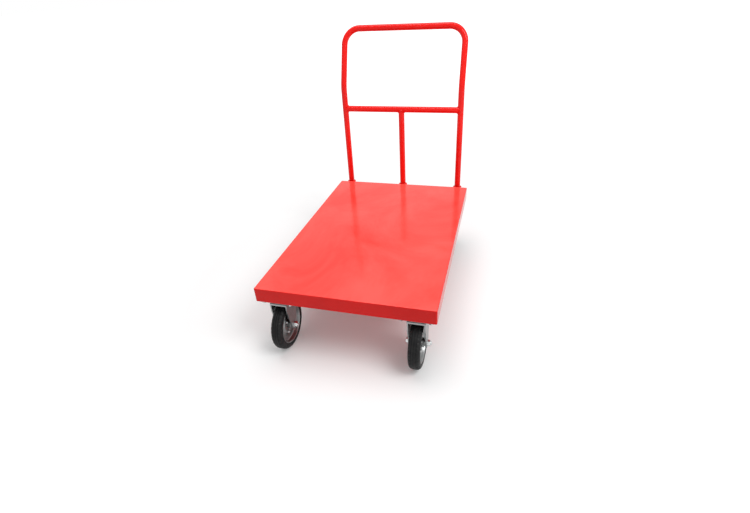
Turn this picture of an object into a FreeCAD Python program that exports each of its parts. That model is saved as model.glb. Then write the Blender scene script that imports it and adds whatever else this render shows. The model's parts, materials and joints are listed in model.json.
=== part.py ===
import FreeCAD, Part
import math
import os

# Four-wheel hand cart.  Millimetres, +X right, +Y towards the push handle, +Z up, z = 0 on the floor.
# The shapes are drawn with y = 0 at the middle of the deck, then slid along Y so that the whole cart is centred.

# Deck
DECK_WIDTH = 600.0
DECK_LENGTH = 900.0
SHEET = 2.0
SKIRT_DEPTH = 50.0
DECK_CORNER_RADIUS = 5.0
DECK_EDGE_RADIUS = 3.0

# Channels under the deck
CHANNEL_WALL = 3.0
BEAM_MARGIN = 2.0
RAIL_WIDTH = 40.0
RAIL_SPACING = 280.0

# Push handle
TUBE_DIAMETER = 25.4
TUBE_WALL = 2.0
UPRIGHT_SPACING = 508.0
HANDLE_ABOVE_DECK = 663.0
HANDLE_LEAN = 19.6
KINK_FROM_TOP = 220.0
KINK_RADIUS = 110.0
TOP_BEND_RADIUS = 64.0
CROSSBAR_BELOW_KINK = 92.0

# Handle sockets
SOCKET_WALL = 6.2
SOCKET_CLEARANCE = 0.1
SOCKET_FLOOR = 4.0
SOCKET_TOP_GAP = 6.0

# Wheels
WHEEL_DIAMETER = 180.0
TYRE_WIDTH = 40.0
TYRE_SHOULDER = 9.0
RIM_DIAMETER = 132.0
RIM_WIDTH = 34.0
RIM_WALL = 3.0
DISC_THICKNESS = 4.0
HUB_DIAMETER = 32.0
HUB_LENGTH = 50.0

# Axles
AXLE_DIAMETER = 12.0
AXLE_HEAD_DIAMETER = 20.0
AXLE_HEAD_LENGTH = 8.0
RUNNING_CLEARANCE = 0.06
HUB_SIDE_CLEARANCE = 1.0

# Caster forks
CASTER_HEADROOM = 36.0
PLATE_SIDE_MARGIN = 5.0
PLATE_WIDTH = 120.0
PLATE_LENGTH = 96.0
PLATE_THICKNESS = 4.0
PLATE_CORNER_RADIUS = 8.0
LEG_THICKNESS = 4.0
LEG_TOP_LENGTH = 68.0
LEG_END_RADIUS = 17.0
LEG_SHOULDER = 34.0
CROWN_CLEARANCE = 10.0
NECK_DIAMETER = 60.0

# Swivel casters
TRAIL = 45.0
RACE_DIAMETER = 72.0
RACE_DEPTH = 8.0
RACE_GAP = 0.5
CROWN_THICKNESS = 6.0
CROWN_LENGTH = 76.0
KINGPIN_DIAMETER = 12.0
KINGPIN_HEAD_DIAMETER = 22.0
KINGPIN_HEAD_LENGTH = 5.0
KINGPIN_NUT_LENGTH = 8.0

# Small gap left where one solid is cut to fit against another
FIT_GAP = 0.05

# Derived sizes
SKIRT_BOTTOM = WHEEL_DIAMETER + CASTER_HEADROOM
DECK_HEIGHT = SKIRT_BOTTOM + SKIRT_DEPTH
DECK_UNDERSIDE = DECK_HEIGHT - SHEET
TUBE_RADIUS = TUBE_DIAMETER / 2.0
SOCKET_RADIUS = TUBE_RADIUS + SOCKET_CLEARANCE + SOCKET_WALL
UPRIGHT_Y = DECK_LENGTH / 2.0 + SOCKET_RADIUS
UPRIGHT_X = UPRIGHT_SPACING / 2.0
TUBE_FOOT = SKIRT_BOTTOM + SOCKET_FLOOR
TOP_BAR_Z = DECK_HEIGHT + HANDLE_ABOVE_DECK - TUBE_RADIUS
KINK_Z = TOP_BAR_Z - KINK_FROM_TOP
CROSSBAR_Z = KINK_Z - CROSSBAR_BELOW_KINK
LEAN = math.radians(HANDLE_LEAN)
TOP_BAR_Y = UPRIGHT_Y + KINK_FROM_TOP * math.tan(LEAN)
WHEEL_RADIUS = WHEEL_DIAMETER / 2.0
WHEEL_X = DECK_WIDTH / 2.0 - SHEET - PLATE_SIDE_MARGIN - PLATE_WIDTH / 2.0
AXLE_RADIUS = AXLE_DIAMETER / 2.0
BORE_RADIUS = AXLE_RADIUS + RUNNING_CLEARANCE
FORK_INSIDE = HUB_LENGTH + 2.0 * HUB_SIDE_CLEARANCE
FORK_OUTSIDE = FORK_INSIDE + 2.0 * LEG_THICKNESS
BEAM_WIDTH = PLATE_LENGTH + 2.0 * BEAM_MARGIN
BEAM_Y = DECK_LENGTH / 2.0 - SHEET - BEAM_WIDTH / 2.0
FRONT_AXLE_Y = -BEAM_Y
KINGPIN_Y = BEAM_Y
REAR_AXLE_Y = KINGPIN_Y - TRAIL
FRONT_END = min(-DECK_LENGTH / 2.0, FRONT_AXLE_Y - WHEEL_RADIUS)
BACK_END = TOP_BAR_Y + TUBE_RADIUS
SHIFT_Y = -(FRONT_END + BACK_END) / 2.0

X_AXIS = FreeCAD.Vector(1, 0, 0)
Y_AXIS = FreeCAD.Vector(0, 1, 0)
Z_AXIS = FreeCAD.Vector(0, 0, 1)


def point(x, y, z):
    return FreeCAD.Vector(x, y, z)


def box(x0, x1, y0, y1, z0, z1):
    return Part.makeBox(x1 - x0, y1 - y0, z1 - z0, point(x0, y0, z0))


def cylinder_x(radius, x0, x1, y, z):
    return Part.makeCylinder(radius, x1 - x0, point(x0, y, z), X_AXIS)


def cylinder_z(radius, x, y, z0, z1):
    return Part.makeCylinder(radius, z1 - z0, point(x, y, z0), Z_AXIS)


def edges_along(shape, axis):
    found = []
    for edge in shape.Edges:
        if not isinstance(edge.Curve, Part.Line):
            continue
        if abs(abs(edge.tangentAt(edge.FirstParameter).dot(axis)) - 1.0) < 1e-6:
            found.append(edge)
    return found


def edges_at_height(shape, z):
    found = []
    for edge in shape.Edges:
        bounds = edge.BoundBox
        if abs(bounds.ZMin - z) < 1e-6 and abs(bounds.ZMax - z) < 1e-6:
            found.append(edge)
    return found


def rounded_plate(x0, x1, y0, y1, z0, z1, radius):
    plate = box(x0, x1, y0, y1, z0, z1)
    return plate.makeFillet(radius, edges_along(plate, Z_AXIS))


def folded_block(inset):
    half_w = DECK_WIDTH / 2.0 - inset
    half_l = DECK_LENGTH / 2.0 - inset
    top = DECK_HEIGHT - inset
    radius = DECK_CORNER_RADIUS - inset
    block = rounded_plate(-half_w, half_w, -half_l, half_l, SKIRT_BOTTOM, top, radius)
    return block.makeFillet(DECK_EDGE_RADIUS - inset, edges_at_height(block, top))


def deck_tray():
    return folded_block(0.0).cut(folded_block(SHEET))


def channel(x0, x1, y0, y1, open_along_x):
    outer = box(x0, x1, y0, y1, SKIRT_BOTTOM, DECK_UNDERSIDE)
    floor = SKIRT_BOTTOM + CHANNEL_WALL
    if open_along_x:
        inner = box(x0, x1, y0 + CHANNEL_WALL, y1 - CHANNEL_WALL, floor, DECK_UNDERSIDE)
    else:
        inner = box(x0 + CHANNEL_WALL, x1 - CHANNEL_WALL, y0, y1, floor, DECK_UNDERSIDE)
    return outer.cut(inner)


def crossmember(y):
    half = DECK_WIDTH / 2.0 - SHEET
    beam = channel(-half, half, y - BEAM_WIDTH / 2.0, y + BEAM_WIDTH / 2.0, True)
    return beam.common(folded_block(SHEET))


def rail(x):
    end = BEAM_Y - BEAM_WIDTH / 2.0
    return channel(x - RAIL_WIDTH / 2.0, x + RAIL_WIDTH / 2.0, -end, end, False)


def crossmember_middle():
    half = (RAIL_SPACING - RAIL_WIDTH) / 2.0
    return channel(-half, half, -RAIL_WIDTH / 2.0, RAIL_WIDTH / 2.0, True)


def outrigger():
    inner_end = (RAIL_SPACING + RAIL_WIDTH) / 2.0
    outer_end = DECK_WIDTH / 2.0 - SHEET
    beam = channel(inner_end, outer_end, -RAIL_WIDTH / 2.0, RAIL_WIDTH / 2.0, True)
    return beam.common(folded_block(SHEET))


def handle_socket(x):
    top = DECK_HEIGHT - SOCKET_TOP_GAP
    pipe = cylinder_z(SOCKET_RADIUS, x, UPRIGHT_Y, SKIRT_BOTTOM, top)
    half = TUBE_RADIUS
    pad = box(x - half, x + half, DECK_LENGTH / 2.0, UPRIGHT_Y, SKIRT_BOTTOM, top)
    bore = cylinder_z(TUBE_RADIUS + SOCKET_CLEARANCE, x, UPRIGHT_Y, TUBE_FOOT, top)
    return pipe.fuse(pad).cut(bore).removeSplitter()


def arc_between(start, corner, end, radius):
    # Tangent arc that rounds the corner between two straight runs.
    back = (start - corner).normalize()
    ahead = (end - corner).normalize()
    half_angle = back.getAngle(ahead) / 2.0
    reach = radius / math.tan(half_angle)
    bisector = (back + ahead).normalize()
    centre = corner + bisector * (radius / math.sin(half_angle))
    first = corner + back * reach
    last = corner + ahead * reach
    middle = centre - bisector * radius
    return first, middle, last


def handle_path():
    foot = point(UPRIGHT_X, UPRIGHT_Y, TUBE_FOOT)
    kink = point(UPRIGHT_X, UPRIGHT_Y, KINK_Z)
    corner = point(UPRIGHT_X, TOP_BAR_Y, TOP_BAR_Z)
    far_corner = point(-UPRIGHT_X, TOP_BAR_Y, TOP_BAR_Z)
    kink_a, kink_b, kink_c = arc_between(foot, kink, corner, KINK_RADIUS)
    bend_a, bend_b, bend_c = arc_between(kink, corner, far_corner, TOP_BEND_RADIUS)
    top_middle = point(0, TOP_BAR_Y, TOP_BAR_Z)
    edges = []
    edges.append(Part.makeLine(foot, kink_a))
    edges.append(Part.Arc(kink_a, kink_b, kink_c).toShape())
    edges.append(Part.makeLine(kink_c, bend_a))
    edges.append(Part.Arc(bend_a, bend_b, bend_c).toShape())
    edges.append(Part.makeLine(bend_c, top_middle))
    return Part.Wire(edges)


def swept_tube(path, start, direction):
    outer_ring = Part.Wire([Part.makeCircle(TUBE_RADIUS, start, direction)])
    inner_ring = Part.Wire([Part.makeCircle(TUBE_RADIUS - TUBE_WALL, start, direction)])
    outer = path.makePipeShell([outer_ring], True, False)
    inner = path.makePipeShell([inner_ring], True, False)
    return outer.cut(inner)


def push_handle():
    half = swept_tube(handle_path(), point(UPRIGHT_X, UPRIGHT_Y, TUBE_FOOT), Z_AXIS)
    other = half.mirror(point(0, 0, 0), X_AXIS)
    return half.fuse(other).removeSplitter()


def tube_between(start, end):
    run = end - start
    outer = Part.makeCylinder(TUBE_RADIUS, run.Length, start, run)
    inner = Part.makeCylinder(TUBE_RADIUS - TUBE_WALL, run.Length, start, run)
    return outer.cut(inner)


def handle_crossbar():
    left = point(-UPRIGHT_X, UPRIGHT_Y, CROSSBAR_Z)
    right = point(UPRIGHT_X, UPRIGHT_Y, CROSSBAR_Z)
    bar = tube_between(left, right)
    for x in (-UPRIGHT_X, UPRIGHT_X):
        notch = cylinder_z(TUBE_RADIUS + FIT_GAP, x, UPRIGHT_Y, TUBE_FOOT, KINK_Z)
        bar = bar.cut(notch)
    return bar


def handle_post():
    post = tube_between(point(0, UPRIGHT_Y, TUBE_FOOT), point(0, UPRIGHT_Y, CROSSBAR_Z))
    reach = DECK_WIDTH / 4.0
    notch = cylinder_x(TUBE_RADIUS + FIT_GAP, -reach, reach, UPRIGHT_Y, CROSSBAR_Z)
    return post.cut(notch)


def top_plate(x, y):
    half_w = PLATE_WIDTH / 2.0
    half_l = PLATE_LENGTH / 2.0
    low = SKIRT_BOTTOM - PLATE_THICKNESS
    return rounded_plate(x - half_w, x + half_w, y - half_l, y + half_l, low, SKIRT_BOTTOM, PLATE_CORNER_RADIUS)


def leg_outline(x, y_top, y_axle, z_top):
    # Side view of a fork leg: straight shoulders, then two sides that run down tangent to the round end.
    half = LEG_TOP_LENGTH / 2.0
    z_axle = WHEEL_RADIUS
    z_waist = z_top - LEG_SHOULDER
    centre = point(x, y_axle, z_axle)
    back_waist = point(x, y_top + half, z_waist)
    front_waist = point(x, y_top - half, z_waist)
    back_touch = tangent_point(centre, back_waist, LEG_END_RADIUS, 1.0)
    front_touch = tangent_point(centre, front_waist, LEG_END_RADIUS, -1.0)
    lowest = centre + (back_touch + front_touch - centre * 2.0).normalize() * LEG_END_RADIUS
    edges = []
    edges.append(Part.makeLine(point(x, y_top - half, z_top), point(x, y_top + half, z_top)))
    edges.append(Part.makeLine(point(x, y_top + half, z_top), back_waist))
    edges.append(Part.makeLine(back_waist, back_touch))
    edges.append(Part.Arc(back_touch, lowest, front_touch).toShape())
    edges.append(Part.makeLine(front_touch, front_waist))
    edges.append(Part.makeLine(front_waist, point(x, y_top - half, z_top)))
    return Part.Face(Part.Wire(edges))


def tangent_point(centre, outside, radius, side):
    # Point where a line from outside touches the circle in the Y-Z plane, on the +Y or -Y side.
    run_y = outside.y - centre.y
    run_z = outside.z - centre.z
    span = math.hypot(run_y, run_z)
    towards = math.atan2(run_z, run_y)
    swing = math.acos(radius / span)
    angle = towards - side * swing
    return point(centre.x, centre.y + radius * math.cos(angle), centre.z + radius * math.sin(angle))


def fork_legs(x, y_top, y_axle, z_top):
    left = leg_outline(x - FORK_OUTSIDE / 2.0, y_top, y_axle, z_top).extrude(X_AXIS * LEG_THICKNESS)
    right = leg_outline(x + FORK_INSIDE / 2.0, y_top, y_axle, z_top).extrude(X_AXIS * LEG_THICKNESS)
    hole = cylinder_x(AXLE_RADIUS + FIT_GAP, x - FORK_OUTSIDE, x + FORK_OUTSIDE, y_axle, WHEEL_RADIUS)
    return left.cut(hole), right.cut(hole)


def rigid_fork(x):
    # The crown lies close over the wheel, and a round neck joins it to the top plate.
    half_w = FORK_OUTSIDE / 2.0
    half_l = LEG_TOP_LENGTH / 2.0
    low = WHEEL_DIAMETER + CROWN_CLEARANCE
    high = low + CROWN_THICKNESS
    crown = box(x - half_w, x + half_w, FRONT_AXLE_Y - half_l, FRONT_AXLE_Y + half_l, low, high)
    neck = cylinder_z(NECK_DIAMETER / 2.0, x, FRONT_AXLE_Y, high, SKIRT_BOTTOM - PLATE_THICKNESS)
    left, right = fork_legs(x, FRONT_AXLE_Y, FRONT_AXLE_Y, high)
    return top_plate(x, FRONT_AXLE_Y).multiFuse([neck, crown, left, right]).removeSplitter()


def race_bottom():
    return SKIRT_BOTTOM - PLATE_THICKNESS - RACE_DEPTH


def crown_top():
    return race_bottom() - RACE_GAP


def crown_bottom():
    return crown_top() - CROWN_THICKNESS


def caster_plate(x):
    race = cylinder_z(RACE_DIAMETER / 2.0, x, KINGPIN_Y, race_bottom(), SKIRT_BOTTOM)
    recess_floor = SKIRT_BOTTOM - KINGPIN_HEAD_LENGTH - HUB_SIDE_CLEARANCE
    recess = cylinder_z(KINGPIN_HEAD_DIAMETER / 2.0 + 1.0, x, KINGPIN_Y, recess_floor, SKIRT_BOTTOM)
    hole = cylinder_z(KINGPIN_DIAMETER / 2.0 + FIT_GAP, x, KINGPIN_Y, race_bottom(), SKIRT_BOTTOM)
    return top_plate(x, KINGPIN_Y).fuse(race).cut(recess).cut(hole).removeSplitter()


def kingpin(x):
    recess_floor = SKIRT_BOTTOM - KINGPIN_HEAD_LENGTH - HUB_SIDE_CLEARANCE
    nut_top = crown_bottom() - RACE_GAP
    nut_bottom = nut_top - KINGPIN_NUT_LENGTH
    head_radius = KINGPIN_HEAD_DIAMETER / 2.0
    head = cylinder_z(head_radius, x, KINGPIN_Y, recess_floor, recess_floor + KINGPIN_HEAD_LENGTH)
    shank = cylinder_z(KINGPIN_DIAMETER / 2.0, x, KINGPIN_Y, nut_bottom, recess_floor)
    nut = cylinder_z(head_radius, x, KINGPIN_Y, nut_bottom, nut_top)
    return head.fuse(shank).fuse(nut).removeSplitter()


def swivel_fork(x):
    half_w = FORK_OUTSIDE / 2.0
    half_l = CROWN_LENGTH / 2.0
    low = crown_bottom()
    high = crown_top()
    crown = rounded_plate(x - half_w, x + half_w, KINGPIN_Y - half_l, KINGPIN_Y + half_l, low, high, half_w / 4.0)
    disc = cylinder_z(RACE_DIAMETER / 2.0, x, KINGPIN_Y, low, high)
    hole = cylinder_z(KINGPIN_DIAMETER / 2.0 + RUNNING_CLEARANCE, x, KINGPIN_Y, low, high)
    left, right = fork_legs(x, KINGPIN_Y, REAR_AXLE_Y, high - CROWN_THICKNESS / 2.0)
    return crown.multiFuse([disc, left, right]).cut(hole).removeSplitter()


def axle(x, y):
    outer = FORK_OUTSIDE / 2.0 + AXLE_HEAD_LENGTH
    shank = cylinder_x(AXLE_RADIUS, x - outer, x + outer, y, WHEEL_RADIUS)
    left = cylinder_x(AXLE_HEAD_DIAMETER / 2.0, x - outer, x - FORK_OUTSIDE / 2.0, y, WHEEL_RADIUS)
    right = cylinder_x(AXLE_HEAD_DIAMETER / 2.0, x + FORK_OUTSIDE / 2.0, x + outer, y, WHEEL_RADIUS)
    return shank.fuse(left).fuse(right).removeSplitter()


def hub(x, y):
    half = HUB_LENGTH / 2.0
    sleeve = cylinder_x(HUB_DIAMETER / 2.0, x - half, x + half, y, WHEEL_RADIUS)
    bore = cylinder_x(BORE_RADIUS, x - half, x + half, y, WHEEL_RADIUS)
    return sleeve.cut(bore)


def rim(x, y):
    half = RIM_WIDTH / 2.0
    half_disc = DISC_THICKNESS / 2.0
    outer = cylinder_x(RIM_DIAMETER / 2.0, x - half, x + half, y, WHEEL_RADIUS)
    hollow = cylinder_x(RIM_DIAMETER / 2.0 - RIM_WALL, x - half, x + half, y, WHEEL_RADIUS)
    band = outer.cut(hollow)
    disc = cylinder_x(RIM_DIAMETER / 2.0 - RIM_WALL / 2.0, x - half_disc, x + half_disc, y, WHEEL_RADIUS)
    bore = cylinder_x(HUB_DIAMETER / 2.0 + FIT_GAP, x - half, x + half, y, WHEEL_RADIUS)
    return band.fuse(disc).cut(bore).removeSplitter()


def tyre(x, y):
    half = TYRE_WIDTH / 2.0
    block = cylinder_x(WHEEL_RADIUS, x - half, x + half, y, WHEEL_RADIUS)
    shoulders = [edge for edge in block.Edges if isinstance(edge.Curve, Part.Circle)]
    rounded = block.makeFillet(TYRE_SHOULDER, shoulders)
    bore = cylinder_x(RIM_DIAMETER / 2.0 + FIT_GAP, x - half, x + half, y, WHEEL_RADIUS)
    return rounded.cut(bore)


def save(node, shape):
    placed = shape.copy()
    placed.translate(Y_AXIS * SHIFT_Y)
    placed.exportStep("parts/" + node + ".step")


def save_wheel(place, x, y):
    save("tyre_" + place, tyre(x, y))
    save("rim_" + place, rim(x, y))
    save("hub_" + place, hub(x, y))
    save("axle_" + place, axle(x, y))


def save_deck():
    save("deck_tray", deck_tray())
    save("crossmember_front", crossmember(-BEAM_Y))
    save("crossmember_rear", crossmember(BEAM_Y))
    save("crossmember_middle", crossmember_middle())
    save("rail_left", rail(-RAIL_SPACING / 2.0))
    save("rail_right", rail(RAIL_SPACING / 2.0))
    right = outrigger()
    save("outrigger_right", right)
    save("outrigger_left", right.mirror(point(0, 0, 0), X_AXIS))


def save_handle():
    save("handle_socket_left", handle_socket(-UPRIGHT_X))
    save("handle_socket_centre", handle_socket(0.0))
    save("handle_socket_right", handle_socket(UPRIGHT_X))
    save("push_handle", push_handle())
    save("handle_crossbar", handle_crossbar())
    save("handle_post", handle_post())


def save_casters():
    for side, x in (("left", -WHEEL_X), ("right", WHEEL_X)):
        save("fork_front_" + side, rigid_fork(x))
        save("caster_plate_" + side, caster_plate(x))
        save("kingpin_" + side, kingpin(x))
        save("fork_rear_" + side, swivel_fork(x))
        save_wheel("front_" + side, x, FRONT_AXLE_Y)
        save_wheel("rear_" + side, x, REAR_AXLE_Y)


os.makedirs("parts", exist_ok=True)
save_deck()
save_handle()
save_casters()
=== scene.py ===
import json
import math

import bmesh
import bpy
from mathutils import Matrix, Vector


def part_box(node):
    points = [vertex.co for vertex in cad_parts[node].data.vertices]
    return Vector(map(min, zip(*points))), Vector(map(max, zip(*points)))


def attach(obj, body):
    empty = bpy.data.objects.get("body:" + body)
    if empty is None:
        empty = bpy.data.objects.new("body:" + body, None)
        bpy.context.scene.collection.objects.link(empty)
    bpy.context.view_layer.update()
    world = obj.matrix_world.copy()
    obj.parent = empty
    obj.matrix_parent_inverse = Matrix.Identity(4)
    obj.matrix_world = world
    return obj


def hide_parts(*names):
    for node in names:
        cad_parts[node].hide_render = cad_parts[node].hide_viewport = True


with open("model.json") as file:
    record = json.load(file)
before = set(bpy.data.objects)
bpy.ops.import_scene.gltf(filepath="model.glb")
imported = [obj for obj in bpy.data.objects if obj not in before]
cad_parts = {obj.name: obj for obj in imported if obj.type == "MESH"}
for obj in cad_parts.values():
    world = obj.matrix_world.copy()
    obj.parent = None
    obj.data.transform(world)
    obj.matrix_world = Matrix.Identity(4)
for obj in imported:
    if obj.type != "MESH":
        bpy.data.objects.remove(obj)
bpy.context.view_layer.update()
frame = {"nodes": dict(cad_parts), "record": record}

NODES = frame["nodes"]
MM = 0.001
TURN = 2.0 * math.pi
RIGHT, BACK, UP, DOWN = (1, 0, 0), (0, 1, 0), (0, 0, 1), (0, 0, -1)


# ---------------------------------------------------------------- materials

class Graph:
    """Small helper that adds nodes to one material."""

    def __init__(self, name):
        self.material = bpy.data.materials.new(name)
        self.material.use_nodes = True
        self.tree = self.material.node_tree
        self.shader = self.tree.nodes["Principled BSDF"]
        self.output = self.tree.nodes["Material Output"]
        self.position = self.tree.nodes.new("ShaderNodeTexCoord").outputs["Object"]

    def link(self, source, target):
        self.tree.links.new(source, target)

    def put(self, socket, value):
        if isinstance(value, bpy.types.NodeSocket):
            self.link(value, socket)
        else:
            socket.default_value = value

    def noise(self, scale, detail=2.0, rough=0.5, vector=None, distortion=0.0):
        node = self.tree.nodes.new("ShaderNodeTexNoise")
        self.link(vector or self.position, node.inputs["Vector"])
        node.inputs["Scale"].default_value = scale
        node.inputs["Detail"].default_value = detail
        node.inputs["Roughness"].default_value = rough
        node.inputs["Distortion"].default_value = distortion
        return node.outputs["Fac"]

    def stretched(self, sx, sy, sz):
        node = self.tree.nodes.new("ShaderNodeMapping")
        self.link(self.position, node.inputs["Vector"])
        node.inputs["Scale"].default_value = (sx, sy, sz)
        return node.outputs["Vector"]

    def ramp(self, value, low, high, out_low=0.0, out_high=1.0):
        node = self.tree.nodes.new("ShaderNodeMapRange")
        self.link(value, node.inputs["Value"])
        node.inputs["From Min"].default_value = low
        node.inputs["From Max"].default_value = high
        node.inputs["To Min"].default_value = out_low
        node.inputs["To Max"].default_value = out_high
        return node.outputs["Result"]

    def math(self, operation, a, b):
        node = self.tree.nodes.new("ShaderNodeMath")
        node.operation = operation
        self.put(node.inputs[0], a)
        self.put(node.inputs[1], b)
        return node.outputs["Value"]

    def mix(self, fac, a, b):
        node = self.tree.nodes.new("ShaderNodeMix")
        node.data_type = "RGBA"
        self.put(node.inputs["Factor"], fac)
        self.put(node.inputs["A"], a)
        self.put(node.inputs["B"], b)
        return node.outputs["Result"]

    def bump(self, height, strength, distance, normal=None):
        node = self.tree.nodes.new("ShaderNodeBump")
        self.link(height, node.inputs["Height"])
        node.inputs["Strength"].default_value = strength
        node.inputs["Distance"].default_value = distance
        if normal is not None:
            self.link(normal, node.inputs["Normal"])
        return node.outputs["Normal"]

    def separate(self, vector):
        node = self.tree.nodes.new("ShaderNodeSeparateXYZ")
        self.link(vector, node.inputs["Vector"])
        return node.outputs

    def normal(self):
        return self.tree.nodes.new("ShaderNodeNewGeometry").outputs["Normal"]


def rgb(r, g, b):
    return (r, g, b, 1.0)


PAINT_DEEP, PAINT_BRIGHT = rgb(0.80, 0.006, 0.004), rgb(0.92, 0.012, 0.007)
# Deck sides: a darker copy of the paint for faces turned away from the overhead light, painted
# shade.
DECK_SIDE_SHADED_DEEP, DECK_SIDE_SHADED_BRIGHT = rgb(0.62, 0.002, 0.001), rgb(0.74, 0.004, 0.002)
# Deck top: paler, pinker paint standing in for the reflection of the bright overhead, painted
# reflection; the two colours are its weaker and stronger patches.
DECK_TOP_SHEEN_LOW, DECK_TOP_SHEEN_HIGH = rgb(0.96, 0.030, 0.020), rgb(0.98, 0.095, 0.078)
DUST = rgb(0.86, 0.12, 0.09)
RUBBER_CLEAN, RUBBER_GRIMY = rgb(0.004, 0.004, 0.005), rgb(0.014, 0.014, 0.014)


def red_enamel(name, deck=False):
    """Gloss paint; on the deck its top face is painted paler, a painted reflection of the bright
    overhead, and its sides are painted deeper, painted shade.
    """
    g = Graph(name)
    patches = g.ramp(g.noise(5.0, 3.0, 0.6), 0.35, 0.7)
    colour = g.mix(patches, PAINT_DEEP, PAINT_BRIGHT)
    if deck:
        # Faces that do not face up take the darker copy: painted shade on the deck's sides and
        # underside.
        colour = g.mix(patches, DECK_SIDE_SHADED_DEEP, DECK_SIDE_SHADED_BRIGHT)
        # Mask of the up-facing faces, which get the painted reflection.
        lit_top_mask = g.ramp(g.separate(g.normal())["Z"], 0.75, 0.98)
        # Random mottle that makes the painted reflection on the top uneven.
        sheen_mottle = g.noise(3.6, 5.0, 0.62, g.stretched(1.0, 0.7, 1.0), 0.6)
        sheen_amount = g.ramp(sheen_mottle, 0.36, 0.64, 0.30, 1.0)
        top_painted_sheen = g.mix(sheen_amount, DECK_TOP_SHEEN_LOW, DECK_TOP_SHEEN_HIGH)
        colour = g.mix(lit_top_mask, colour, top_painted_sheen)
    dust = g.ramp(g.noise(260.0, 2.0, 0.7), 0.62, 0.80, 0.0, 0.10)
    colour = g.mix(dust, colour, DUST)
    g.link(colour, g.shader.inputs["Base Color"])
    smear = g.noise(9.0, 4.0, 0.65, g.stretched(1.0, 0.45, 1.0))
    g.link(g.ramp(smear, 0.3, 0.75, 0.10, 0.22), g.shader.inputs["Roughness"])
    peel = g.bump(g.noise(420.0, 1.0, 0.4), 0.05, 0.0002)
    sag = g.bump(g.noise(4.5, 1.0, 0.4), 0.25, 0.004, peel) if deck else peel
    g.link(sag, g.shader.inputs["Normal"])
    g.shader.inputs["Specular IOR Level"].default_value = 0.20
    return g.material


def zinc(name, tone, rough):
    """Plated steel with a faint spangle; tone is its grey."""
    g = Graph(name)
    spangle = g.tree.nodes.new("ShaderNodeTexVoronoi")
    g.link(g.position, spangle.inputs["Vector"])
    spangle.inputs["Scale"].default_value = 230.0
    cells = g.ramp(g.separate(spangle.outputs["Color"])["X"], 0.0, 1.0, 0.0, 0.55)
    cloud = g.ramp(g.noise(38.0, 4.0, 0.6), 0.35, 0.7)
    shade = g.math("MULTIPLY", g.math("ADD", cells, cloud), 0.6)
    dark = rgb(tone * 0.78, tone * 0.80, tone * 0.80)
    light = rgb(tone, tone * 1.02, tone * 1.03)
    g.link(g.mix(shade, dark, light), g.shader.inputs["Base Color"])
    g.link(g.ramp(cloud, 0.0, 1.0, rough - 0.06, rough + 0.10), g.shader.inputs["Roughness"])
    scratch = g.noise(160.0, 3.0, 0.6, g.stretched(1.0, 1.0, 0.08))
    g.link(g.bump(scratch, 0.12, 0.0003), g.shader.inputs["Normal"])
    g.shader.inputs["Metallic"].default_value = 1.0
    return g.material


def rubber(name):
    g = Graph(name)
    grime = g.ramp(g.noise(46.0, 5.0, 0.65), 0.40, 0.75)
    g.link(g.mix(grime, RUBBER_CLEAN, RUBBER_GRIMY), g.shader.inputs["Base Color"])
    g.link(g.ramp(g.noise(80.0, 3.0, 0.6), 0.3, 0.7, 0.42, 0.62), g.shader.inputs["Roughness"])
    grain = g.bump(g.noise(900.0, 2.0, 0.5), 0.15, 0.0003)
    g.link(grain, g.shader.inputs["Normal"])
    g.shader.inputs["Specular IOR Level"].default_value = 0.22
    return g.material


ENAMEL = red_enamel("red_enamel")
DECK_ENAMEL = red_enamel("deck_enamel", deck=True)
ZINC = zinc("zinc_plate", 0.40, 0.36)
BRIGHT = zinc("bright_bolt", 0.74, 0.24)
RIM_STEEL = zinc("rim_steel", 0.30, 0.34)
RUBBER = rubber("tyre_rubber")


# ---------------------------------------------------------------- mesh helpers

def piece(name, verts, faces, material, body, smooth_angle=38.0):
    mesh = bpy.data.meshes.new(name)
    mesh.from_pydata([tuple(v) for v in verts], [], faces)
    mesh.materials.append(material)
    tidy = bmesh.new()
    tidy.from_mesh(mesh)
    bmesh.ops.remove_doubles(tidy, verts=tidy.verts, dist=1e-6)
    bmesh.ops.recalc_face_normals(tidy, faces=tidy.faces)
    tidy.to_mesh(mesh)
    tidy.free()
    mesh.shade_smooth()
    mesh.set_sharp_from_angle(angle=math.radians(smooth_angle))
    obj = bpy.data.objects.new(name, mesh)
    bpy.context.scene.collection.objects.link(obj)
    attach(obj, body)
    return obj


class Builder:
    """Collects closed shells that make up one piece."""

    def __init__(self):
        self.verts = []
        self.faces = []

    def add(self, verts, faces):
        base = len(self.verts)
        self.verts.extend(Vector(v) for v in verts)
        self.faces.extend([tuple(base + i for i in f) for f in faces])

    def loft(self, rings, closed_path=False, caps=True):
        count = len(rings[0])
        verts = [v for ring in rings for v in ring]
        faces = []
        spans = len(rings) if closed_path else len(rings) - 1
        for r in range(spans):
            a = r * count
            b = ((r + 1) % len(rings)) * count
            for i in range(count):
                j = (i + 1) % count
                faces.append((a + i, a + j, b + j, b + i))
        if caps and not closed_path:
            faces.append(tuple(range(count)))
            last = (len(rings) - 1) * count
            faces.append(tuple(last + i for i in reversed(range(count))))
        self.add(verts, faces)

    def make(self, name, material, body, smooth_angle=38.0):
        return piece(name, self.verts, self.faces, material, body, smooth_angle)


def ring_points(centre, u, v, radius, count):
    points = []
    for i in range(count):
        a = TURN * i / count
        out = Vector(u) * (radius * math.cos(a)) + Vector(v) * (radius * math.sin(a))
        points.append(Vector(centre) + out)
    return points


def frame_of(axis):
    n = Vector(axis).normalized()
    helper = Vector((0, 0, 1)) if abs(n.z) < 0.9 else Vector((1, 0, 0))
    u = helper.cross(n).normalized()
    return u, n.cross(u), n


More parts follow.
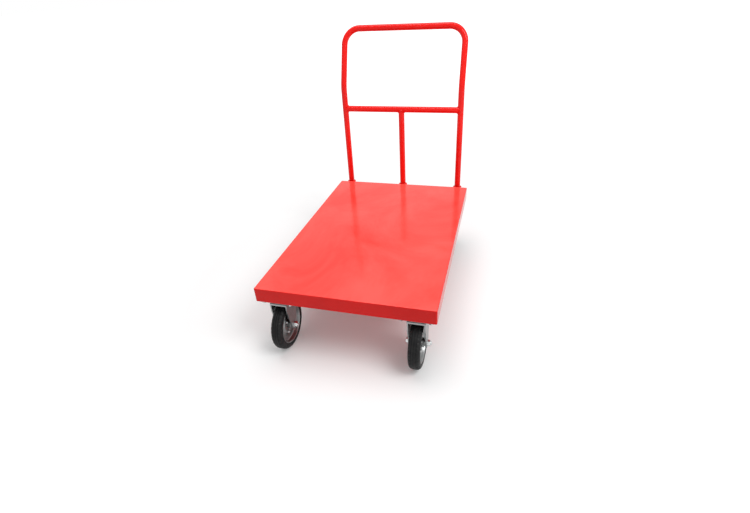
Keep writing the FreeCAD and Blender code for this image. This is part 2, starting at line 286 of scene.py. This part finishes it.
def lathe(builder, centre, axis, profile, count, wobble=None):
    """profile: (distance along axis, radius) in metres; wobble(k, i) adds to a radius."""
    u, v, n = frame_of(axis)
    rings = []
    for i in range(count):
        a = TURN * i / count
        out = u * math.cos(a) + v * math.sin(a)
        ring = []
        for k, (along, radius) in enumerate(profile):
            extra = wobble(k, i) if wobble else 0.0
            ring.append(Vector(centre) + n * along + out * (radius + extra))
        rings.append(ring)
    builder.loft(rings, closed_path=True)


def turned(builder, centre, axis, steps, count):
    """A solid of stacked rings; each step is (distance along the axis, radius)."""
    u, v, n = frame_of(axis)
    start = Vector(centre)
    builder.loft([ring_points(start + n * along, u, v, radius, count) for along, radius in steps])


def mirrored(points):
    return [(-x, r) for x, r in reversed(points)]


def scaled(points):
    """Profile points in millimetres, as metres."""
    return [(x * MM, r * MM) for x, r in points]


def hex_head(builder, seat, axis, across, height):
    """Hexagon with a turned chamfer on its outer face."""
    u, v, n = frame_of(axis)
    corner = across / math.sqrt(3.0)
    count = 48
    rings = []
    limits = ((0.0, across * 0.49), (0.0, corner), (height * 0.80, corner), (height, across * 0.47))
    for along, limit in limits:
        ring = []
        for i in range(count):
            a = TURN * i / count
            local = (a % (math.pi / 3.0)) - math.pi / 6.0
            flat = (across / 2.0) / math.cos(local)
            radius = min(flat, limit)
            out = u * (radius * math.cos(a)) + v * (radius * math.sin(a))
            ring.append(Vector(seat) + n * along + out)
        rings.append(ring)
    builder.loft(rings)


WASHER_THICKNESS = 2.0 * MM
THREAD_PITCH = 1.75 * MM


def washer(builder, seat, axis, outer):
    thick, eased = WASHER_THICKNESS, outer * 0.97
    steps = ((0.0, eased), (thick * 0.2, outer), (thick * 0.8, outer), (thick, eased))
    turned(builder, seat, axis, steps, 40)


def thread_end(builder, seat, axis, radius, length):
    steps = []
    turns = max(2, int(length / THREAD_PITCH))
    for k in range(turns):
        steps.append((length * k / turns, radius * 0.90))
        steps.append((length * (k + 0.5) / turns, radius))
    steps.append((length, radius * 0.86))
    turned(builder, seat, axis, steps, 24)


def bolt(builder, seat, axis, across, height, washer_radius):
    n = Vector(axis).normalized()
    washer(builder, seat, axis, washer_radius)
    hex_head(builder, Vector(seat) + n * WASHER_THICKNESS, axis, across, height)


BEAD_RIPPLE = 0.18
BEAD_STEP = 1.0 * MM


def bead(builder, points, radius, closed=False):
    """A weld bead: a tube along a line of points, with one ripple every four steps."""
    line = resample(points, BEAD_STEP, closed)
    rings = []
    total = len(line)
    for i in range(total):
        before = line[i - 1] if (i > 0 or closed) else line[i]
        after = line[(i + 1) % total] if (i < total - 1 or closed) else line[i]
        u, v, _ = frame_of(after - before)
        swell = radius * (1.0 + BEAD_RIPPLE * math.cos(math.pi * i / 2.0))
        if not closed:
            swell *= min(1.0, 0.45 + 0.3 * min(i, total - 1 - i))
        rings.append(ring_points(line[i], u, v, swell, 8))
    builder.loft(rings, closed_path=closed)


def resample(points, step, closed=False):
    line = [Vector(p) for p in points]
    if closed:
        line = line + [line[0]]
    lengths = [0.0]
    for a, b in zip(line, line[1:]):
        lengths.append(lengths[-1] + (b - a).length)
    count = max(4, int(lengths[-1] / step))
    count += (-count) % 4
    out = []
    k = 0
    for i in range(count + (0 if closed else 1)):
        want = lengths[-1] * i / count
        while k < len(line) - 2 and lengths[k + 1] < want:
            k += 1
        span = max(lengths[k + 1] - lengths[k], 1e-9)
        out.append(line[k].lerp(line[k + 1], (want - lengths[k]) / span))
    return out


def middle(node):
    low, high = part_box(node)
    return (low + high) / 2.0


# ---------------------------------------------------------------- wheels

PLACES = ("front_left", "front_right", "rear_left", "rear_right")
WHEEL_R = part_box("tyre_front_left")[1].z / 2.0


def wheel_body(place):
    return "wheel_" + place


def axle_body(place):
    side = place.split("_")[1]
    return "cart" if place.startswith("front") else "swivel_" + side


def wheel_centre(node):
    centre = middle(node)
    centre.z = WHEEL_R
    return centre


def tyre_profile():
    """The outside from side to side, with two grooves in the tread, and the seat on the rim."""
    right = scaled([
        (0.9, 88.5), (1.3, 89.95), (6.8, 89.75), (7.2, 87.9), (8.9, 87.7), (9.3, 89.3),
        (12.6, 88.3), (14.0, 87.6), (16.6, 85.7), (18.4, 83.2), (19.3, 80.4), (19.5, 78.8),
        (19.9, 78.2), (20.0, 74.0), (19.6, 71.6), (18.9, 70.4), (18.0, 69.0), (17.2, 67.2),
        (16.6, 66.2)])
    return mirrored(right) + right, scaled([(16.0, 66.0), (-16.0, 66.0)])


TYRE_STEPS = 180
NOTCH_EVERY = 5
NOTCH_DEPTH = 1.3 * MM
SHOULDER_IN, SHOULDER_OUT, SHOULDER_LOW = 9.1 * MM, 18.6 * MM, 83.0 * MM


def make_tyre(place):
    centre = wheel_centre("tyre_" + place)
    outer, inner = tyre_profile()
    profile = outer + inner

    def notches(k, i):
        if k >= len(outer):
            return 0.0
        x, r = profile[k]
        on_shoulder = SHOULDER_IN < abs(x) < SHOULDER_OUT and r > SHOULDER_LOW
        return -NOTCH_DEPTH if on_shoulder and i % NOTCH_EVERY == 0 else 0.0

    b = Builder()
    lathe(b, centre, RIGHT, profile, TYRE_STEPS, wobble=notches)
    tyre = b.make("tread_" + place, RUBBER, wheel_body(place), 32.0)
    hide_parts("tyre_" + place)


def rim_profile():
    """Lip, well, disc and hub seat on both sides, then the bead seat under the tyre."""
    right = scaled([
        (17.6, 68.3), (18.6, 68.0), (19.0, 67.0), (18.2, 65.6), (15.8, 64.2), (11.0, 63.0),
        (7.5, 62.0), (5.2, 59.8), (4.2, 55.5), (4.0, 43.0), (5.5, 38.6), (8.6, 36.6), (9.6, 34.0),
        (9.6, 25.0), (8.8, 22.6), (6.0, 20.6), (5.4, 18.6), (6.4, 16.1)])
    return right + mirrored(right) + scaled([(-16.2, 66.0), (16.2, 66.0)])


RIM_NUTS = 4
NUT_CIRCLE_R = 29.5 * MM
DISC_FACE = 9.5 * MM
NUT_STUD = scaled([(0.0, 3.0), (6.6, 3.0), (7.2, 2.4)])


def make_rim(place):
    centre = wheel_centre("rim_" + place)
    b = Builder()
    lathe(b, centre, RIGHT, rim_profile(), 96)
    rim = b.make("pressed_rim_" + place, RIM_STEEL, wheel_body(place), 50.0)
    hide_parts("rim_" + place)
    nuts = Builder()
    for i in range(RIM_NUTS):
        a = TURN / 8.0 + TURN / RIM_NUTS * i
        spot = Vector((0.0, math.cos(a), math.sin(a))) * NUT_CIRCLE_R
        for side in (-1.0, 1.0):
            seat = centre + spot + Vector((side * DISC_FACE, 0, 0))
            hex_head(nuts, seat, (side, 0, 0), 10.0 * MM, 5.0 * MM)
            turned(nuts, seat, (side, 0, 0), NUT_STUD, 20)
    nuts.make("rim_nuts_" + place, BRIGHT, wheel_body(place))


def make_hub(place):
    low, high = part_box("hub_" + place)
    half = (high.x - low.x) / 2.0
    steps = scaled([
        (0.0, 6.06), (0.0, 10.5), (1.2, 11.6), (4.0, 11.8), (4.6, 15.2), (5.6, 16.0),
        (12.0, 16.0), (12.8, 15.2)])
    side = [(half - inset, r) for inset, r in steps] + scaled([(6.2, 15.2)])
    b = Builder()
    lathe(b, wheel_centre("hub_" + place), RIGHT, side + mirrored(side), 48)
    sleeve = b.make("hub_sleeve_" + place, ZINC, wheel_body(place))
    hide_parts("hub_" + place)


LEG_FACE = 30.0 * MM
AXLE_R = 6.0 * MM
AXLE_NUT_ACROSS = 19.0 * MM
AXLE_HEAD_HEIGHT, AXLE_NUT_HEIGHT = 7.5 * MM, 9.0 * MM
AXLE_WASHER_R = 11.8 * MM


def make_axle(place):
    low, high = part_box("axle_" + place)
    centre = (low + high) / 2.0
    centre.z = WHEEL_R
    out = Vector((LEG_FACE, 0, 0))
    thread = Vector((LEG_FACE + WASHER_THICKNESS + AXLE_NUT_HEIGHT, 0, 0))
    b = Builder()
    turned(b, centre - out, RIGHT, ((0.0, AXLE_R), (2.0 * LEG_FACE, AXLE_R)), 48)
    bolt(b, centre - out, (-1, 0, 0), AXLE_NUT_ACROSS, AXLE_HEAD_HEIGHT, AXLE_WASHER_R)
    bolt(b, centre + out, RIGHT, AXLE_NUT_ACROSS, AXLE_NUT_HEIGHT, AXLE_WASHER_R)
    thread_end(b, centre + thread, RIGHT, 5.9 * MM, 4.0 * MM)
    axle = b.make("axle_bolt_" + place, BRIGHT, axle_body(place))
    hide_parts("axle_" + place)


for PLACE in PLACES:
    make_tyre(PLACE)
    make_rim(PLACE)
    make_hub(PLACE)
    make_axle(PLACE)


# ---------------------------------------------------------------- casters' small parts

PLATE_THICKNESS = 4.0 * MM
BOLT_X, BOLT_Y = 47.0 * MM, 36.0 * MM
PLATE_BOLT_HEAD = 6.0 * MM


def plate_bolts(node, name):
    low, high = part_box(node)
    centre = (low + high) / 2.0
    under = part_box("caster_plate_left")[1].z - PLATE_THICKNESS
    b = Builder()
    for sx in (-1, 1):
        for sy in (-1, 1):
            seat = Vector((centre.x + sx * BOLT_X, centre.y + sy * BOLT_Y, under))
            tip = seat - Vector((0, 0, WASHER_THICKNESS + PLATE_BOLT_HEAD))
            bolt(b, seat, DOWN, 15.0 * MM, PLATE_BOLT_HEAD, 9.0 * MM)
            thread_end(b, tip, DOWN, 4.6 * MM, 3.5 * MM)
    b.make(name, BRIGHT, "cart")


KINGPIN_R = 6.0 * MM
KINGPIN_HEAD = 5.0 * MM
KINGPIN_HEAD_STEPS = scaled([(0.0, 11.0), (4.0, 11.0), (5.0, 10.2)])
KINGPIN_NUT_ACROSS, KINGPIN_NUT_HEIGHT = 19.0 * MM, 8.0 * MM


def kingpin_nut(side):
    low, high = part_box("kingpin_" + side)
    x, y = ((low + high) / 2.0).xy
    shank = high.z - low.z - KINGPIN_HEAD
    b = Builder()
    turned(b, (x, y, high.z - KINGPIN_HEAD), UP, KINGPIN_HEAD_STEPS, 40)
    turned(b, (x, y, low.z), UP, ((0.0, KINGPIN_R), (shank, KINGPIN_R)), 40)
    seat = (x, y, low.z + KINGPIN_NUT_HEIGHT)
    hex_head(b, seat, DOWN, KINGPIN_NUT_ACROSS, KINGPIN_NUT_HEIGHT)
    pin = b.make("kingpin_nut_" + side, BRIGHT, "cart")
    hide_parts("kingpin_" + side)


SHIELD = scaled([
    (1.0, 36.2), (7.0, 36.2), (7.5, 37.2), (1.0, 38.6), (-1.2, 38.8), (-1.2, 38.0), (0.6, 37.4)])


def race_shield(side):
    low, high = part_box("kingpin_" + side)
    x, y = ((low + high) / 2.0).xy
    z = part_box("caster_plate_" + side)[0].z
    b = Builder()
    lathe(b, (x, y, z), UP, SHIELD, 72)
    b.make("race_shield_" + side, ZINC, "cart")


for SIDE in ("left", "right"):
    plate_bolts("fork_front_" + SIDE, "plate_bolts_front_" + SIDE)
    plate_bolts("caster_plate_" + SIDE, "plate_bolts_rear_" + SIDE)
    kingpin_nut(SIDE)
    race_shield(SIDE)


# ---------------------------------------------------------------- welds and handle bolts

TUBE_R = 12.7 * MM
RING_STEPS = 48
PROUD = 1.02
WELD_GAP = 0.4 * MM
SMOOTH_BEAD = 60.0


def tube_reach(offset):
    """How far the tube's surface lies from its axis, at this offset across it."""
    return math.sqrt(max(TUBE_R ** 2 - offset ** 2, 0.0))


def handle_welds():
    """Beads where the crossbar meets the uprights and where the post meets the crossbar."""
    b = Builder()
    bar = middle("handle_crossbar")
    for side, socket in ((-1, "handle_socket_left"), (1, "handle_socket_right")):
        x = middle(socket).x
        ring = []
        for i in range(RING_STEPS):
            a = TURN * i / RING_STEPS
            dy, dz = TUBE_R * math.cos(a), TUBE_R * math.sin(a)
            inward = side * (tube_reach(dy) + WELD_GAP)
            ring.append(Vector((x - inward, bar.y + dy * PROUD, bar.z + dz * PROUD)))
        bead(b, ring, 2.3 * MM, closed=True)
    ring = []
    for i in range(RING_STEPS):
        a = TURN * i / RING_STEPS
        dx, dy = TUBE_R * math.cos(a), TUBE_R * math.sin(a)
        ring.append(Vector((dx * PROUD, bar.y + dy * PROUD, bar.z - tube_reach(dy) - WELD_GAP)))
    bead(b, ring, 2.3 * MM, closed=True)
    b.make("handle_welds", ENAMEL, "cart", SMOOTH_BEAD)


def socket_trim(side):
    low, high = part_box("handle_socket_" + side)
    centre = (low + high) / 2.0
    radius = (high.x - low.x) / 2.0
    deck_back = high.y - 2.0 * radius
    b = Builder()
    for sx in (-1, 1):
        x = centre.x + sx * (TUBE_R + 1.2 * MM)
        y = deck_back + 1.0 * MM
        bead(b, [(x, y, low.z + 2.0 * MM), (x, y, high.z - 2.0 * MM)], 2.4 * MM)
    mouth = (centre.x, centre.y, high.z + 0.2 * MM)
    ring = ring_points(mouth, RIGHT, BACK, TUBE_R + 0.8 * MM, RING_STEPS)
    bead(b, ring, 1.9 * MM, closed=True)
    b.make("socket_welds_" + side, ENAMEL, "cart", SMOOTH_BEAD)
    screw = Builder()
    seat = (centre.x, high.y - 0.6 * MM, centre.z - 3.0 * MM)
    bolt(screw, seat, BACK, 13.0 * MM, 5.5 * MM, 8.5 * MM)
    screw.make("socket_bolt_" + side, BRIGHT, "cart")


def stitch(builder, start, end, radius, length, gap):
    """Short beads of one length with even gaps, from start to end."""
    start, end = Vector(start), Vector(end)
    run = (end - start).length
    step = (end - start).normalized()
    at = gap / 2.0
    while at + length <= run:
        bead(builder, [start + step * at, start + step * (at + length)], radius)
        at += length + gap


UNDER_BEAD_R = 2.0 * MM
LONG_STITCH = (UNDER_BEAD_R, 40.0 * MM, 60.0 * MM)
SHORT_STITCH = (UNDER_BEAD_R, 30.0 * MM, 24.0 * MM)


def under_deck_welds():
    """Stitches along the channels' top edges, and beads down the ends of the rails."""
    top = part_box("rail_left")[1].z
    z = top - 1.2 * MM
    b = Builder()
    for side in ("left", "right"):
        low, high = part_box("rail_" + side)
        for x in (low.x - WELD_GAP, high.x + WELD_GAP):
            stitch(b, (x, low.y, z), (x, high.y, z), *LONG_STITCH)
        for y in (low.y, high.y):
            inward = 1.0 if y < middle("rail_left").y else -1.0
            weld_y = y + inward * 0.6 * MM
            for x in (low.x - 0.6 * MM, high.x + 0.6 * MM):
                ends = [(x, weld_y, low.z + 2.0 * MM), (x, weld_y, top - 3.0 * MM)]
                bead(b, ends, UNDER_BEAD_R)
    for end in ("front", "rear"):
        low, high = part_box("crossmember_" + end)
        y = high.y + WELD_GAP if end == "front" else low.y - WELD_GAP
        stitch(b, (low.x + 10.0 * MM, y, z), (high.x - 10.0 * MM, y, z), *LONG_STITCH)
    for node in ("crossmember_middle", "outrigger_left", "outrigger_right"):
        low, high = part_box(node)
        for y in (low.y - WELD_GAP, high.y + WELD_GAP):
            stitch(b, (low.x, y, z), (high.x, y, z), *SHORT_STITCH)
    b.make("under_deck_welds", ENAMEL, "cart", SMOOTH_BEAD)


handle_welds()
for SIDE in ("left", "centre", "right"):
    socket_trim(SIDE)
under_deck_welds()


# ---------------------------------------------------------------- finish of the CAD nodes

LOOKS = {
    "red_enamel": ENAMEL,
    "zinc_plate": ZINC,
    "bright_steel": BRIGHT,
    "wheel_silver": RIM_STEEL,
    "tyre_rubber": RUBBER,
}


def paint(node, material):
    for slot in NODES[node].material_slots:
        slot.material = material


for NODE in frame["record"]["subparts"]:
    paint(NODE["node"], LOOKS[NODE["material_slot"]])
paint("deck_tray", DECK_ENAMEL)


# ---------------------------------------------------------------- floor, light and camera

FILL_STRENGTH = 0.42
FLOOR_HALF = 30.0
FLOOR_GLOW_NEAR, FLOOR_GLOW_FAR = 0.8, 4.5
FLOOR_GLOW_LOW = 0.12
CAMERA_PLACE = (436.4, -1517.2, 1114.8)
CAMERA_YAW, CAMERA_PITCH, CAMERA_ROLL = -17.04, 32.15, 3.64
FOCAL_PER_WIDTH = 452.6 / 750.0
SENSOR_WIDTH = 36.0


def make_world():
    """A dim fill for the object; camera, glossy and transmission rays see plain white."""
    world = bpy.data.worlds.new("studio")
    bpy.context.scene.world = world
    world.use_nodes = True
    tree = world.node_tree
    tree.nodes.clear()
    path = tree.nodes.new("ShaderNodeLightPath")
    first = tree.nodes.new("ShaderNodeMath")
    first.operation = "MAXIMUM"
    second = tree.nodes.new("ShaderNodeMath")
    second.operation = "MAXIMUM"
    tree.links.new(path.outputs["Is Camera Ray"], first.inputs[0])
    tree.links.new(path.outputs["Is Glossy Ray"], first.inputs[1])
    tree.links.new(first.outputs[0], second.inputs[0])
    tree.links.new(path.outputs["Is Transmission Ray"], second.inputs[1])
    fill = tree.nodes.new("ShaderNodeBackground")
    fill.inputs["Color"].default_value = rgb(1.0, 1.0, 1.0)
    fill.inputs["Strength"].default_value = FILL_STRENGTH
    seen = tree.nodes.new("ShaderNodeBackground")
    seen.inputs["Color"].default_value = rgb(1.0, 1.0, 1.0)
    seen.inputs["Strength"].default_value = 1.0
    mixed = tree.nodes.new("ShaderNodeMixShader")
    out = tree.nodes.new("ShaderNodeOutputWorld")
    tree.links.new(second.outputs[0], mixed.inputs[0])
    tree.links.new(fill.outputs[0], mixed.inputs[1])
    tree.links.new(seen.outputs[0], mixed.inputs[2])
    tree.links.new(mixed.outputs[0], out.inputs[0])


def make_floor():
    """White floor, whose glow rises with distance to meet the white world; clear from below."""
    size = FLOOR_HALF
    corners = [(-size, -size, 0), (size, -size, 0), (size, size, 0), (-size, size, 0)]
    mesh = bpy.data.meshes.new("floor")
    mesh.from_pydata(corners, [], [(0, 1, 2, 3)])
    floor = bpy.data.objects.new("floor", mesh)
    bpy.context.scene.collection.objects.link(floor)
    g = Graph("floor_paint")
    tone = g.mix(g.noise(2.0, 2.0), rgb(0.80, 0.80, 0.80), rgb(0.82, 0.82, 0.82))
    g.link(tone, g.shader.inputs["Base Color"])
    g.shader.inputs["Roughness"].default_value = 0.9
    g.shader.inputs["Specular IOR Level"].default_value = 0.0
    glow = g.tree.nodes.new("ShaderNodeEmission")
    path = g.tree.nodes.new("ShaderNodeLightPath")
    seen = g.math("MAXIMUM", path.outputs["Is Camera Ray"], path.outputs["Is Glossy Ray"])
    reach = g.tree.nodes.new("ShaderNodeVectorMath")
    reach.operation = "LENGTH"
    g.link(g.position, reach.inputs[0])
    far = g.ramp(reach.outputs["Value"], FLOOR_GLOW_NEAR, FLOOR_GLOW_FAR, FLOOR_GLOW_LOW, 1.0)
    g.link(g.math("MULTIPLY", seen, far), glow.inputs["Strength"])
    both = g.tree.nodes.new("ShaderNodeAddShader")
    g.link(g.shader.outputs[0], both.inputs[0])
    g.link(glow.outputs[0], both.inputs[1])
    clear = g.tree.nodes.new("ShaderNodeBsdfTransparent")
    sided = g.tree.nodes.new("ShaderNodeMixShader")
    geometry = g.tree.nodes.new("ShaderNodeNewGeometry")
    g.link(geometry.outputs["Backfacing"], sided.inputs[0])
    g.link(both.outputs[0], sided.inputs[1])
    g.link(clear.outputs[0], sided.inputs[2])
    g.link(sided.outputs[0], g.output.inputs["Surface"])
    floor.data.materials.append(g.material)


def area_light(name, place, target, size, power):
    data = bpy.data.lights.new(name, "AREA")
    data.shape = "RECTANGLE"
    data.size = size[0]
    data.size_y = size[1]
    data.energy = power
    lamp = bpy.data.objects.new(name, data)
    bpy.context.scene.collection.objects.link(lamp)
    lamp.location = place
    lamp.rotation_mode = "QUATERNION"
    lamp.rotation_quaternion = (Vector(target) - Vector(place)).to_track_quat("-Z", "Y")


def make_camera():
    place = Vector(CAMERA_PLACE) * MM
    yaw, pitch, roll = (math.radians(a) for a in (CAMERA_YAW, CAMERA_PITCH, CAMERA_ROLL))
    level = math.cos(pitch)
    ahead = Vector((math.sin(yaw) * level, math.cos(yaw) * level, -math.sin(pitch)))
    right = Vector((math.cos(yaw), -math.sin(yaw), 0.0))
    down = ahead.cross(right)
    across = right * math.cos(roll) + down * math.sin(roll)
    below = down * math.cos(roll) - right * math.sin(roll)
    data = bpy.data.cameras.new("camera")
    data.sensor_width = SENSOR_WIDTH
    data.lens = FOCAL_PER_WIDTH * SENSOR_WIDTH
    camera = bpy.data.objects.new("camera", data)
    bpy.context.scene.collection.objects.link(camera)
    turn = Matrix((across, -below, -ahead)).transposed()
    camera.matrix_world = Matrix.Translation(place) @ turn.to_4x4()
    bpy.context.scene.camera = camera


make_world()
make_floor()
area_light("key", (2.4, -1.2, 3.4), (0, 0, 0.4), (2.0, 2.0), 90.0)
area_light("overhead", (-0.4, 0.4, 3.6), (0, 0, 0.3), (2.6, 2.6), 65.0)
make_camera()
bpy.context.scene.view_settings.view_transform = "Standard"
